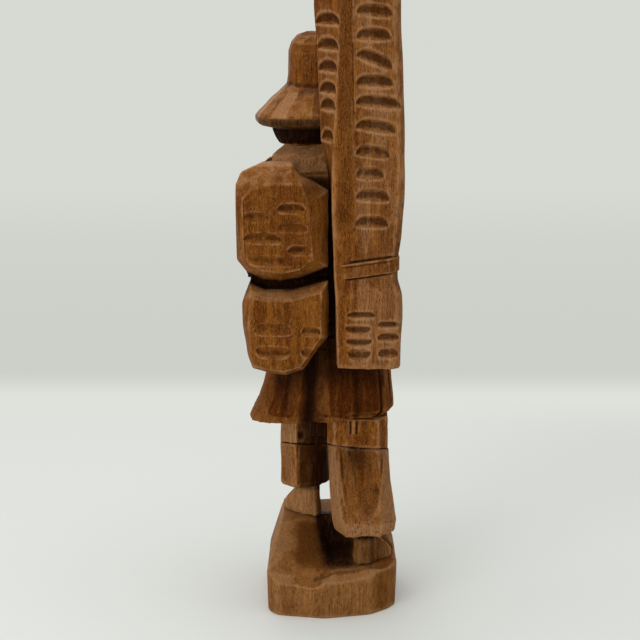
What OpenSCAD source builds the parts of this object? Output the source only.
// Carved wooden traveler with a hat, two packs and a tall load, on a rock base.
// The figure faces -Y and its back faces +Y. X runs to the figure's own left.
// The origin is the middle of the base's underside, and the base rests on z = 0.

/* [Base] */
// Width of the rock, left to right
base_w = 69; // [66:1:78]
// Depth of the rock, front to back
base_d = 74; // [72:1:84]
// Height of the mound under the left foot
mound_h = 42; // [38:1:46]
// Height of the mound's slope along the back edge
slope_h = 16; // [12:1:20]
// Height of the hollow's floor under the right foot
hollow_z = 25; // [22:1:28]

/* [Feet] */
// Length of a foot, heel to toe
foot_l = 26; // [23:1:28]
// Width of a foot across the toes
foot_w = 14; // [11:1:15]
// Thickness of an ankle
ankle_t = 13; // [11:1:14]
// Angle by which each foot turns outward
foot_splay = 41; // [35:1:46]
// Height of the left ankle, from the mound to the trouser hem
left_ankle_h = 17; // [14:1:20]
// Height of the right ankle, from the hollow to the trouser hem
right_ankle_h = 16; // [14:1:20]

/* [Trousers] */
// Width of the left trouser leg
left_leg_w = 27; // [24:1:28]
// Width of the right trouser leg at its hem
right_leg_w = 34; // [31:1:36]
// Height of the glued seam that crosses both legs
seam_z = 86; // [84:1:92]
// Height of the hip block above the seam
hips_h = 17; // [15:1:20]

/* [Tunic] */
// Width of the skirt at its hem
skirt_w = 76; // [70:1:80]
// Depth of the skirt at its hem
skirt_d = 47; // [44:1:50]
// Height of the skirt, hem to waist
skirt_h = 37; // [32:1:40]
// Number of pleats around the skirt
pleats = 15; // [11:1:19]
// Depth of a pleat at the hem
pleat_t = 1.6; // [0.8:0.1:2.4]

/* [Body] */
// Width of the trunk between the arms
torso_w = 52; // [48:1:56]
// Depth of the trunk at the chest
torso_d = 41; // [38:1:44]
// Height of the trunk, waist to neck
torso_h = 104; // [100:1:110]
// Thickness of an upper arm, out from the trunk
arm_t = 14; // [12:1:16]
// Drop from the neck to the underside of the elbow
arm_l = 62; // [58:1:68]
// Width of a fist
fist_w = 11; // [9:1:12]

/* [Head] */
// Width of the head at the hair
head_w = 48; // [44:1:49]
// Depth of the head, face to nape
head_d = 43; // [40:1:44]
// Height of the head, neck to hat
head_h = 17; // [15:1:20]
// Drop of the chin below the neck
chin_h = 18; // [15:1:19]

/* [Hat] */
// Radius of the brim
brim_r = 33; // [32:0.5:33.5]
// Thickness of the brim's rim
rim_t = 5; // [4:0.5:6]
// Rise of the brim from the rim to the crown
brim_h = 11; // [9:1:13]
// Radius of the crown
crown_r = 16; // [14:0.5:18]
// Height of the crown above the brim
crown_h = 28; // [24:1:32]
// Angle by which the hat leans back
hat_tilt = 7.5; // [4:0.5:9]

/* [Packs] */
// Width of the upper pack
upper_pack_w = 45; // [41:1:47]
// Height of the upper pack
upper_pack_h = 59; // [55:1:61]
// Width of the lower pack
lower_pack_w = 41; // [38:1:43]
// Height of the lower pack
lower_pack_h = 47; // [44:1:49]
// Depth of the packs, out from the back
pack_d = 25; // [22:1:28]
// Dip of the lower pack's top under the upper pack
pack_gap = 6; // [4:0.5:8]
// Gap between the packs and the tall load
slot_w = 2.4; // [1.6:0.2:3.4]

/* [Tall load] */
// Width of the load
load_w = 35; // [32:1:37]
// Depth of the load, out from the back
load_d = 25; // [23:1:27]
// Height of the load
load_h = 184; // [172:1:190]
// Width of the strap around the load
load_strap_w = 7; // [5:0.5:9]
// Number of gouge cuts down the back of the load
gouges = 10; // [6:1:10]
// Depth of a gouge cut
gouge_t = 1.2; // [0.6:0.1:1.6]

/* [Straps] */
// Width of a shoulder strap
strap_w = 7; // [5:0.5:8]
// Thickness of every strap
strap_t = 1.6; // [1.2:0.1:2]

/* [Joinery] */
// Diameter of the thin dowels
dowel_d = 4; // [3:0.5:5]
// Diameter of the waist dowel
waist_dowel_d = 6; // [5:0.5:7]
// Depth of a dowel in each piece it enters
dowel_in = 10; // [8:1:11]
// Clearance around a dowel
dowel_gap = 0.05; // [0.02:0.01:0.1]
// Clearance where an arm or a hand is fitted round another piece
fit_gap = 0.1; // [0.05:0.05:0.3]

/* [Hidden] */
$fn = 48;
far = 400;
wood = [0.47, 0.32, 0.20];
pale_wood = [0.58, 0.42, 0.29];
dark_wood = [0.33, 0.21, 0.13];

// Places across the figure
body_x = 5;
head_x = 7;
left_leg = [14, -11];
right_leg = [-13, 8];
left_ankle = [11.5, -8.5];
right_ankle = [-16.5, 19];

// Levels up the figure
left_hem_z = mound_h + left_ankle_h;
right_hem_z = hollow_z + right_ankle_h;
skirt_z = seam_z + hips_h;
waist_z = skirt_z + skirt_h;
neck_z = waist_z + torso_h;
hat_z = neck_z + head_h - rim_t;

// Planes that pieces meet on
back_y = 21;
chest_y = back_y - torso_d;
side_x = torso_w / 2;
chest_drop = 44;
shoulder_drop = 14;
neck_drop = 5.5;
neck_w = 40;
shoulder_fall = 38;
sleeve_drop = 22;
shoulder_pin_drop = 24;

// The rock's faces: where each leaves the mound's top, and the angle it falls by
left_face_x = base_w / 2 - 7;
left_face_fall = 71;
right_face_x = 10 - base_w / 2;
right_face_fall = 60;
front_face_y = 3 - base_d / 2;
front_face_fall = 63;
back_face_y = left_ankle.y + 9;
back_face_fall = atan2(mound_h - slope_h, base_d / 2 - back_face_y);

// The hollow's walls and floor edge: where each meets the floor, and the angle it falls by
side_wall_x = left_ankle.x - 10;
side_wall_fall = 75;
front_wall_y = left_ankle.y + 7;
front_wall_fall = 72;
floor_edge_y = right_ankle.y + 9;
floor_edge_fall = 30;
ledge_bearing = 143;

// Feet, trousers and hips
toe_t = 4;
toe_cut = 3;
leg_d = 27;
right_hem_d = 33;
thigh_w = 31.5;
leg_cut = 6;
left_hem = left_leg + [0, -3];
right_hem = right_leg + [-4, 5.5];
crotch_h = 4;

// Skirt
flare_h = 9;
gather_h = 14;

// Head and hat
head_y = -4;
neck_pin_h = 6;
hair_h = 8;
jaw_w = 24;
jaw_d = 8;
hat_seat_d = 37;
hat_seat_w = 41;

// Packs and load
pack_x = slot_w;
pack_rear = back_y + pack_d;
pack_bevel = 9;
pack_drop = 7;
upper_pack_z = neck_z - pack_drop - upper_pack_h;
lower_pack_z = upper_pack_z - lower_pack_h + 0.5;
load_z = waist_z - 5;
load_top = load_z + load_h;
load_rear = back_y + load_d;
load_step = 9;
load_bag_h = 47;
load_waist_z = load_z + load_bag_h;
load_belly_h = 30;
load_pin_rise = 25;
load_pin_pitch = 55;
strap_tilt = 6;
gouge_r = 2.8;
gouge_l = 19;
gouge_pitch = 11;

// Arms and hands
elbow = [side_x + arm_t / 2, -2, neck_z - arm_l + 9];
wrist_drop = 42;
wrist_reach = 5;
wrist = [side_x - 0.5, chest_y - wrist_reach, neck_z - wrist_drop];
wrist_r = 5.5;
strap_x = 16;
strap_rise = 8;
strap_lap = 10;
fist_drop = 37;
fist_z = neck_z - fist_drop;
fist_h = 13;
fist_d = 10;
fist_y = chest_y - strap_t - 0.3;

// A flat-sided ring of eight points at height z: a w by d block with its corners cut off.
function block_ring(c, w, d, cut, z) = [
    [c.x + w / 2, c.y - d / 2 + cut, z], [c.x + w / 2, c.y + d / 2 - cut, z],
    [c.x + w / 2 - cut, c.y + d / 2, z], [c.x - w / 2 + cut, c.y + d / 2, z],
    [c.x - w / 2, c.y + d / 2 - cut, z], [c.x - w / 2, c.y - d / 2 + cut, z],
    [c.x - w / 2 + cut, c.y - d / 2, z], [c.x + w / 2 - cut, c.y - d / 2, z]
];

// The same ring between a front and a back plane, grown outward by g.
function trunk_ring(w, front, back, cut, z, g) =
    block_ring([body_x, (front + back) / 2], w + 2 * g, back - front + 2 * g, cut, z);

// A foot's ring at height z, from the heel to the toes along +X.
function foot_ring(heel, toe, heel_w, toe_w, z) = [
    [toe, -toe_w / 2 + toe_cut, z], [toe, toe_w / 2 - toe_cut, z],
    [toe - toe_cut, toe_w / 2, z], [heel + toe_cut, heel_w / 2, z],
    [heel, heel_w / 2 - toe_cut, z], [heel, -heel_w / 2 + toe_cut, z],
    [heel + toe_cut, -heel_w / 2, z], [toe - toe_cut, -toe_w / 2, z]
];

// A ring with a wave of pleats around a squarish oval.
function pleat_ring(c, w, d, depth, z) = [
    for (i = [0 : 4 * pleats - 1])
        let (a = 90 * i / pleats, wave = depth * cos(90 * i))
        [c.x + (w / 2 + wave) * squarish(cos(a)), c.y + (d / 2 + wave) * squarish(sin(a)), z]
];
function squarish(v) = sign(v) * pow(abs(v), 0.75);

// Moves a ring's points up or down onto the plane that the hat sits on.
function on_hat_seat(ring) = [
    for (p = ring) [p.x, p.y, hat_z + rim_t / cos(hat_tilt) - (p.y - head_y) * tan(hat_tilt)]
];

// Moves a ring's points up or down onto the slope of the left shoulder.
function on_shoulder(ring) = [
    for (p = ring) [p.x, p.y, neck_z - neck_drop - (p.x - side_x) * tan(shoulder_fall)]
];

// An outline in X and Z, shrunk about its middle by the ratio k, at depth y.
function outline_ring(outline, y, k) =
    let (xs = [for (p = outline) p.x], zs = [for (p = outline) p.y])
    let (mid = [max(xs) + min(xs), max(zs) + min(zs)] / 2)
    [for (p = outline) let (q = mid + (p - mid) * k) [q.x, y, q.y]];

// A solid skinned over a list of rings with equal numbers of points.
module loft(rings) {
    n = len(rings[0]);
    last = len(rings) - 1;
    sides = [
        for (k = [0 : last - 1], i = [0 : n - 1])
            let (a = k * n + i, b = k * n + (i + 1) % n)
            each [[a, a + n, b + n], [a, b + n, b]]
    ];
    bottom = [for (i = [0 : n - 1]) i];
    top = [for (i = [n - 1 : -1 : 0]) last * n + i];
    polyhedron([for (r = rings) each r], concat([bottom, top], sides));
}

module on_left() {
    translate([body_x, 0, 0]) children();
}

module on_right() {
    translate([body_x, 0, 0]) mirror([1, 0, 0]) children();
}

// A dowel of diameter d from height z0 to z1. Its bore has a clearance.
module upright(p, d, z0, z1, gap = 0) {
    translate([p.x, p.y, z0 - gap]) cylinder(d = d + 2 * gap, h = z1 - z0 + 2 * gap);
}

// A dowel through the plane of the back, half in the trunk and half in the load.
module through_back(x, z, gap = 0) {
    translate([x, back_y - dowel_in - gap, z]) rotate([-90, 0, 0])
        cylinder(d = dowel_d + 2 * gap, h = 2 * (dowel_in + gap));
}

module left_leg_dowel(gap = 0) {
    upright(left_ankle, dowel_d, mound_h - dowel_in, left_hem_z + dowel_in, gap);
}

module right_leg_dowel(gap = 0) {
    upright(right_ankle, dowel_d, hollow_z - dowel_in, right_hem_z + dowel_in, gap);
}

module left_thigh_dowel(gap = 0) {
    upright(left_leg, dowel_d, seam_z - dowel_in, seam_z + dowel_in, gap);
}

module right_thigh_dowel(gap = 0) {
    upright(right_leg, dowel_d, seam_z - dowel_in, seam_z + dowel_in, gap);
}

module waist_pin(gap = 0) {
    upright([body_x - 1, 0], waist_dowel_d, skirt_z - dowel_in, waist_z + dowel_in, gap);
}

module neck_pin(gap = 0) {
    upright([head_x, head_y], dowel_d, neck_z - dowel_in, neck_z + neck_pin_h, gap);
}

// Moves its children into the leaning frame of the hat, whose origin is the middle of the rim.
module in_hat_frame() {
    translate([head_x, head_y, hat_z]) rotate([-hat_tilt, 0, 0]) children();
}

module hat_pin(gap = 0) {
    in_hat_frame() upright([0, 0], dowel_d, rim_t - dowel_in + 1, rim_t + dowel_in, gap);
}

module shoulder_pin(gap = 0) {
    translate([side_x - dowel_in - gap, 2, neck_z - shoulder_pin_drop]) rotate([0, 90, 0])
        cylinder(d = dowel_d + 2 * gap, h = dowel_in + arm_t - 5 + 2 * gap);
}

// Moves its children to the wrist, with +Z along the forearm toward the hand.
module at_wrist() {
    reach = wrist - elbow;
    translate(wrist) rotate([0, acos(reach.z / norm(reach)), atan2(reach.y, reach.x)]) children();
}

module wrist_pin(gap = 0) {
    at_wrist() upright([0, 0], dowel_d, -dowel_in, dowel_in - 4, gap);
}

module pack_pin(z, gap = 0) {
    through_back(body_x + side_x - dowel_in, z, gap);
}

module load_pin(z, gap = 0) {
    through_back(body_x - side_x + dowel_in / 2 + 2, z, gap);
}

upper_pin_z = upper_pack_z + upper_pack_h / 2;
lower_pin_z = lower_pack_z + lower_pack_h / 2;
load_pin_low = load_z + load_pin_rise;
load_pin_high = load_pin_low + load_pin_pitch;

// The rock's outline from above, with its corners knocked off.
module rock_outline() {
    w = base_w / 2;
    d = base_d / 2;
    polygon([
        [-w, -d + 14], [-w + 16, -d], [w - 16, -d], [w, -d + 14],
        [w, d - 11], [w - 5, d - 4.5], [4, d], [-w + 14, d - 5], [-w + 4, d - 13], [-w, d - 19]
    ]);
}

// Everything above a plane that runs through p and falls toward a bearing.
module above(p, bearing, fall) {
    translate(p) rotate([0, 0, bearing]) rotate([0, fall, 0]) translate([-far / 2, -far / 2, 0]) cube(far);
}

// Everything above the hollow's floor, which falls to the back edge.
module over_floor() {
    above([0, 0, hollow_z], 0, 0);
    above([0, floor_edge_y, hollow_z], 90, floor_edge_fall);
}

// The hollow under the right foot: two sloping walls and the floor.
module hollow() {
    intersection() {
        above([side_wall_x, 0, hollow_z], 180, side_wall_fall);
        above([0, front_wall_y, hollow_z], 90, front_wall_fall);
        over_floor();
    }
}

// The mound's slope, which leaves a ledge standing behind the hollow.
module back_face() {
    difference() {
        above([0, back_face_y, mound_h], 90, back_face_fall);
        difference() {
            above([side_wall_x, floor_edge_y, 0], ledge_bearing, 90);
            over_floor();
        }
    }
}

module base() {
    color(wood) difference() {
        linear_extrude(mound_h) rock_outline();
        back_face();
        above([left_face_x, 0, mound_h], 0, left_face_fall);
        above([right_face_x, 0, mound_h], 180, right_face_fall);
        above([0, front_face_y, mound_h], -90, front_face_fall);
        hollow();
        left_leg_dowel(dowel_gap);
        right_leg_dowel(dowel_gap);
    }
}

// A bare foot with its heel at the ankle and its toes along +X: a wedge that fans out from the hem.
module foot(height) {
    heel = -ankle_t / 2;
    toe = foot_l + heel;
    heel_w = ankle_t - 2;
    loft([
        foot_ring(heel, toe, heel_w, foot_w, 0),
        foot_ring(heel, toe, heel_w, foot_w, toe_t),
        foot_ring(heel + 2, -heel - 1, heel_w - 1, heel_w, height)
    ]);
}

module left_foot() {
    color(pale_wood) difference() {
        translate([left_ankle.x, left_ankle.y, mound_h]) rotate(foot_splay - 90) foot(left_ankle_h);
        left_leg_dowel(dowel_gap);
    }
}

module right_foot() {
    color(pale_wood) difference() {
        translate([right_ankle.x, right_ankle.y, hollow_z]) rotate(-foot_splay - 90) foot(right_ankle_h);
        right_leg_dowel(dowel_gap);
    }
}

module left_trouser_leg() {
    knee_z = (left_hem_z + seam_z) / 2;
    color(wood) difference() {
        loft([
            block_ring(left_hem, left_leg_w, leg_d, leg_cut, left_hem_z),
            block_ring(left_hem, left_leg_w - 1, leg_d - 2, leg_cut, knee_z),
            block_ring(left_leg, left_leg_w, leg_d, leg_cut, seam_z)
        ]);
        left_leg_dowel(dowel_gap);
        left_thigh_dowel(dowel_gap);
    }
}

module right_trouser_leg() {
    knee_z = (right_hem_z + seam_z) / 2;
    color(wood) difference() {
        loft([
            block_ring(right_hem, right_leg_w - 2, right_hem_d - 2, leg_cut, right_hem_z),
            block_ring(right_hem, right_leg_w, right_hem_d, leg_cut, right_hem_z + 4),
            block_ring((right_hem + right_leg) / 2, thigh_w, right_hem_d - 4, leg_cut, knee_z),
            block_ring(right_leg, thigh_w, leg_d, leg_cut, seam_z)
        ]);
        right_leg_dowel(dowel_gap);
        right_thigh_dowel(dowel_gap);
    }
}

module hips() {
    color(wood) difference() {
        union() {
            loft([
                block_ring(left_leg, left_leg_w, leg_d, leg_cut, seam_z),
                block_ring(left_leg + [0, 2], left_leg_w + 1, leg_d, leg_cut, skirt_z)
            ]);
            loft([
                block_ring(right_leg, thigh_w, leg_d, leg_cut, seam_z),
                block_ring(right_leg + [0, -2], thigh_w, leg_d, leg_cut, skirt_z)
            ]);
            translate([right_leg.x, left_leg.y, seam_z + crotch_h])
                cube([left_leg.x - right_leg.x, right_leg.y - left_leg.y, hips_h - crotch_h]);
        }
        left_thigh_dowel(dowel_gap);
        right_thigh_dowel(dowel_gap);
        waist_pin(dowel_gap);
    }
}

module tunic_skirt() {
    middle = [body_x, 0];
    color(wood) difference() {
        loft([
            pleat_ring(middle + [1, 0], skirt_w - 2 * pleat_t, skirt_d, pleat_t, skirt_z),
            pleat_ring(middle - [2, 0], skirt_w - 10, skirt_d - 3, 0.8 * pleat_t, skirt_z + flare_h),
            pleat_ring(middle - [3, 0], skirt_w - 13, skirt_d - 7, pleat_t / 2, waist_z - gather_h),
            pleat_ring(middle, torso_w + 2, torso_d - 1, pleat_t / 4, waist_z)
        ]);
        waist_pin(dowel_gap);
    }
}

// The trunk's outer form, grown outward by g for straps and fits.
module torso_form(g) {
    cut = 7;
    loft([
        trunk_ring(torso_w, chest_y + 2, back_y, cut, waist_z, g),
        trunk_ring(torso_w, chest_y, back_y, cut, neck_z - chest_drop, g),
        trunk_ring(torso_w, chest_y + 1, back_y, cut, neck_z - shoulder_drop, g),
        trunk_ring(torso_w, chest_y + 5, back_y - 5, cut, neck_z - neck_drop, g),
        trunk_ring(neck_w, chest_y + 9, back_y - 9, cut, neck_z + g, g)
    ]);
}

module torso() {
    color(wood) difference() {
        torso_form(0);
        waist_pin(dowel_gap);
        neck_pin(dowel_gap);
        on_left() shoulder_pin(dowel_gap);
        on_right() shoulder_pin(dowel_gap);
        pack_pin(upper_pin_z, dowel_gap);
        pack_pin(lower_pin_z, dowel_gap);
        load_pin(load_pin_low, dowel_gap);
        load_pin(load_pin_high, dowel_gap);
    }
}

// The left arm about the body's middle plane: a bent arm that reaches to the chest.
module arm() {
    out = side_x + arm_t / 2;
    difference() {
        union() {
            loft([
                block_ring([out - 1, 2], arm_t - 2, 16, 4, neck_z - arm_l),
                block_ring([out, 2], arm_t, 20, 5, neck_z - arm_l + 8),
                block_ring([out, 2], arm_t, 22, 5, neck_z - sleeve_drop),
                on_shoulder(block_ring([out, 1], arm_t - 1, 18, 4, 0))
            ]);
            hull() {
                translate(elbow) sphere(r = arm_t / 2, $fn = 20);
                at_wrist() translate([0, 0, -1]) cylinder(r = wrist_r, h = 1, $fn = 20);
            }
        }
        translate([-body_x, 0, 0]) torso_form(fit_gap);
        shoulder_pin(dowel_gap);
        wrist_pin(dowel_gap);
    }
}

module left_arm() {
    color(wood) on_left() arm();
}

module right_arm() {
    color(wood) on_right() arm();
}

// The left hand about the body's middle plane: a fist that closes over the strap.
module hand() {
    difference() {
        hull() {
            at_wrist() cylinder(r = wrist_r - 0.5, h = 1, $fn = 20);
            translate([strap_x - fist_w / 2, fist_y - fist_d, fist_z - fist_h / 2])
                cube([fist_w, fist_d, fist_h]);
        }
        translate([-body_x, 0, 0]) torso_form(strap_t + fit_gap);
        at_wrist() translate([-far / 2, -far / 2, -far]) cube(far);
        wrist_pin(dowel_gap);
    }
}

module left_hand() {
    color(pale_wood) on_left() hand();
}

module right_hand() {
    color(pale_wood) on_right() hand();
}

module head() {
    middle = [head_x, head_y];
    jaw = [head_x, chest_y - 2];
    cut = 10;
    nose_y = head_y - head_d / 2;
    color(dark_wood) difference() {
        union() {
            loft([
                block_ring(middle, head_w - 9, head_d - 7, cut, neck_z),
                block_ring(middle, head_w, head_d, cut, neck_z + hair_h),
                block_ring(middle, head_w - 3, head_d - 2, cut, hat_z),
                on_hat_seat(block_ring(middle, hat_seat_w, hat_seat_d, cut, 0))
            ]);
            difference() {
                loft([
                    block_ring(jaw - [0, 0.5], jaw_w - 10, jaw_d - 2, 2, neck_z - chin_h),
                    block_ring(jaw, jaw_w, jaw_d, 3, neck_z - chin_h / 2),
                    block_ring(middle - [0, 9], head_w - 14, head_d - 21, 6, neck_z + 0.5)
                ]);
                torso_form(strap_t + fit_gap);
            }
            hull() {
                translate([head_x - 3, nose_y - 3, neck_z - 3]) cube([6, 6, 1]);
                translate([head_x - 1.5, nose_y, neck_z + hair_h]) cube([3, 2, 1]);
            }
        }
        neck_pin(dowel_gap);
        hat_pin(dowel_gap);
    }
}

module hat() {
    brim_top = rim_t + brim_h;
    crown_top = brim_top + crown_h;
    seat_r = 25;
    color(wood) difference() {
        in_hat_frame() rotate_extrude() polygon([
            [0, rim_t], [seat_r, rim_t], [brim_r - 4, 0.5], [brim_r - 2, 0], [brim_r, 1.5],
            [brim_r, rim_t - 1], [brim_r - 1, rim_t], [crown_r + 1.5, brim_top - 1],
            [crown_r, brim_top + 2], [crown_r - 0.5, crown_top - 7], [crown_r - 4, crown_top - 1],
            [0, crown_top]
        ]);
        hat_pin(dowel_gap);
    }
}

// A pack carved as a block: flat against the back, full in the middle, bevelled to a flat face behind.
// The body and the face are outlines in X and Z with equal numbers of corners.
module pack(body, face) {
    loft([
        outline_ring(face, pack_rear, 1),
        outline_ring(0.4 * face + 0.6 * body, pack_rear - pack_bevel / 3, 1),
        outline_ring(body, pack_rear - pack_bevel, 1),
        outline_ring(body, back_y + pack_bevel, 1),
        outline_ring(body, back_y, 0.95)
    ]);
}

module upper_pack() {
    x0 = pack_x;
    x1 = pack_x + upper_pack_w;
    z0 = upper_pack_z;
    z1 = upper_pack_z + upper_pack_h;
    color(wood) difference() {
        pack([
            [x0, z0 + 7], [x0, z1 - 12], [x0 + 9, z1 - 11], [x0 + 13, z1 - 8], [x0 + 20, z1],
            [x1 - 11, z1 - 2], [x1 - 4, z1 - 6], [x1, z1 - 12], [x1, z0 + 12], [x1 - 4, z0 + 5],
            [x1 - 9, z0 + 1.5], [x1 - 15, z0], [x0 + 14, z0 + 3.5]
        ], [
            [x0 + 10, z0 + 11], [x0 + 10, z1 - 16], [x0 + 13, z1 - 13], [x0 + 15, z1 - 12], [x0 + 20, z1 - 9],
            [x1 - 12, z1 - 10], [x1 - 7, z1 - 13], [x1 - 4, z1 - 18], [x1 - 4, z0 + 15], [x1 - 7, z0 + 9],
            [x1 - 11, z0 + 6], [x1 - 16, z0 + 5], [x0 + 17, z0 + 7]
        ]);
        pack_pin(upper_pin_z, dowel_gap);
    }
}

module lower_pack() {
    x0 = pack_x;
    x1 = pack_x + lower_pack_w;
    z0 = lower_pack_z;
    z1 = lower_pack_z + lower_pack_h;
    color(wood) difference() {
        pack([
            [x0, z0 + 23], [x0, z1], [x0 + 9, z1 - pack_gap / 2], [x1 - 15, z1 - pack_gap],
            [x1 - 4, z1 - pack_gap / 2], [x1, z1 - 11], [x1 - 1, z0 + 18], [x1 - 5, z0 + 4],
            [x1 - 15, z0], [x0 + 17, z0], [x0 + 8, z0 + 9]
        ], [
            [x0 + 4, z0 + 24], [x0 + 4, z1 - 6], [x0 + 10, z1 - 8], [x1 - 15, z1 - pack_gap - 4],
            [x1 - 7, z1 - 9], [x1 - 4, z1 - 14], [x1 - 5, z0 + 19], [x1 - 8, z0 + 8],
            [x1 - 16, z0 + 4], [x0 + 18, z0 + 4], [x0 + 10, z0 + 12]
        ]);
        pack_pin(lower_pin_z, dowel_gap);
    }
}

// A ring of the load: a block whose left back edge is planed off into a ridge.
// The front left corner stands at `left`, and g grows the ring outward.
function load_ring(front, left, inset, z, g) =
    let (right = -load_w + inset - g, l = left - inset + g, rear = load_rear - inset + g, f = front)
    [
        [right, f, z], [l, f, z], [min(l, -0.5 + g), rear - 3, z], [-9, rear, z],
        [right + 4, rear, z], [right + 1, rear - 3, z]
    ];

module load_form(g) {
    top_front = back_y + load_step;
    loft([
        load_ring(back_y, 0, 2, load_z, g),
        load_ring(back_y, 0, 0.5, load_z + 6, g),
        load_ring(back_y, 0, 1, load_waist_z - 6, g),
        load_ring(back_y, -1, 2.5, load_waist_z, g),
        load_ring(back_y, 0, 0.5, load_waist_z + load_belly_h, g),
        load_ring(back_y, 0, 0, neck_z - shoulder_drop + 4, g),
        load_ring(top_front, 5.5, 0, neck_z + 1, g),
        load_ring(top_front, 9, 0.5, load_top - 9, g),
        load_ring(top_front, 4, 3, load_top, g)
    ]);
}

module tall_load() {
    color(wood) difference() {
        load_form(0);
        for (i = [0 : gouges - 1])
            translate([-load_w / 2 - 2, load_rear + gouge_r - gouge_t, load_top - 12 - i * gouge_pitch])
                rotate([0, 90, 0]) cylinder(r = gouge_r, h = gouge_l, center = true);
        load_pin(load_pin_low, dowel_gap);
        load_pin(load_pin_high, dowel_gap);
    }
}

module load_strap() {
    color(dark_wood) intersection() {
        difference() {
            load_form(strap_t);
            load_form(0);
        }
        translate([-load_w / 2, back_y + load_d / 2 + 1, load_waist_z + 2]) rotate([0, strap_tilt, 0])
            cube([2 * load_w, load_d + 6, load_strap_w], center = true);
    }
}

// The left shoulder strap about the body's middle plane: it lies on the chest from the neck down.
module shoulder_strap() {
    difference() {
        intersection() {
            translate([-body_x, 0, 0]) torso_form(strap_t);
            translate([strap_x - strap_w / 2, chest_y + strap_lap - far, waist_z + strap_rise])
                cube([strap_w, far, torso_h - strap_rise - neck_drop]);
        }
        translate([-body_x, 0, 0]) torso_form(0);
    }
}

module left_shoulder_strap() {
    color(dark_wood) on_left() shoulder_strap();
}

module right_shoulder_strap() {
    color(dark_wood) on_right() shoulder_strap();
}

module leg_dowels() {
    color(pale_wood) {
        left_leg_dowel();
        right_leg_dowel();
    }
}

module thigh_dowels() {
    color(pale_wood) {
        left_thigh_dowel();
        right_thigh_dowel();
    }
}

module waist_dowel() {
    color(pale_wood) waist_pin();
}

module neck_dowel() {
    color(pale_wood) neck_pin();
}

module hat_peg() {
    color(pale_wood) hat_pin();
}

module shoulder_dowels() {
    color(pale_wood) {
        on_left() shoulder_pin();
        on_right() shoulder_pin();
    }
}

module wrist_dowels() {
    color(pale_wood) {
        on_left() wrist_pin();
        on_right() wrist_pin();
    }
}

module pack_dowels() {
    color(pale_wood) {
        pack_pin(upper_pin_z);
        pack_pin(lower_pin_z);
    }
}

module load_dowels() {
    color(pale_wood) {
        load_pin(load_pin_low);
        load_pin(load_pin_high);
    }
}

base();
left_foot();
right_foot();
left_trouser_leg();
right_trouser_leg();
hips();
tunic_skirt();
torso();
left_arm();
right_arm();
left_hand();
right_hand();
head();
hat();
upper_pack();
lower_pack();
tall_load();
load_strap();
left_shoulder_strap();
right_shoulder_strap();
leg_dowels();
thigh_dowels();
waist_dowel();
neck_dowel();
hat_peg();
shoulder_dowels();
wrist_dowels();
pack_dowels();
load_dowels();
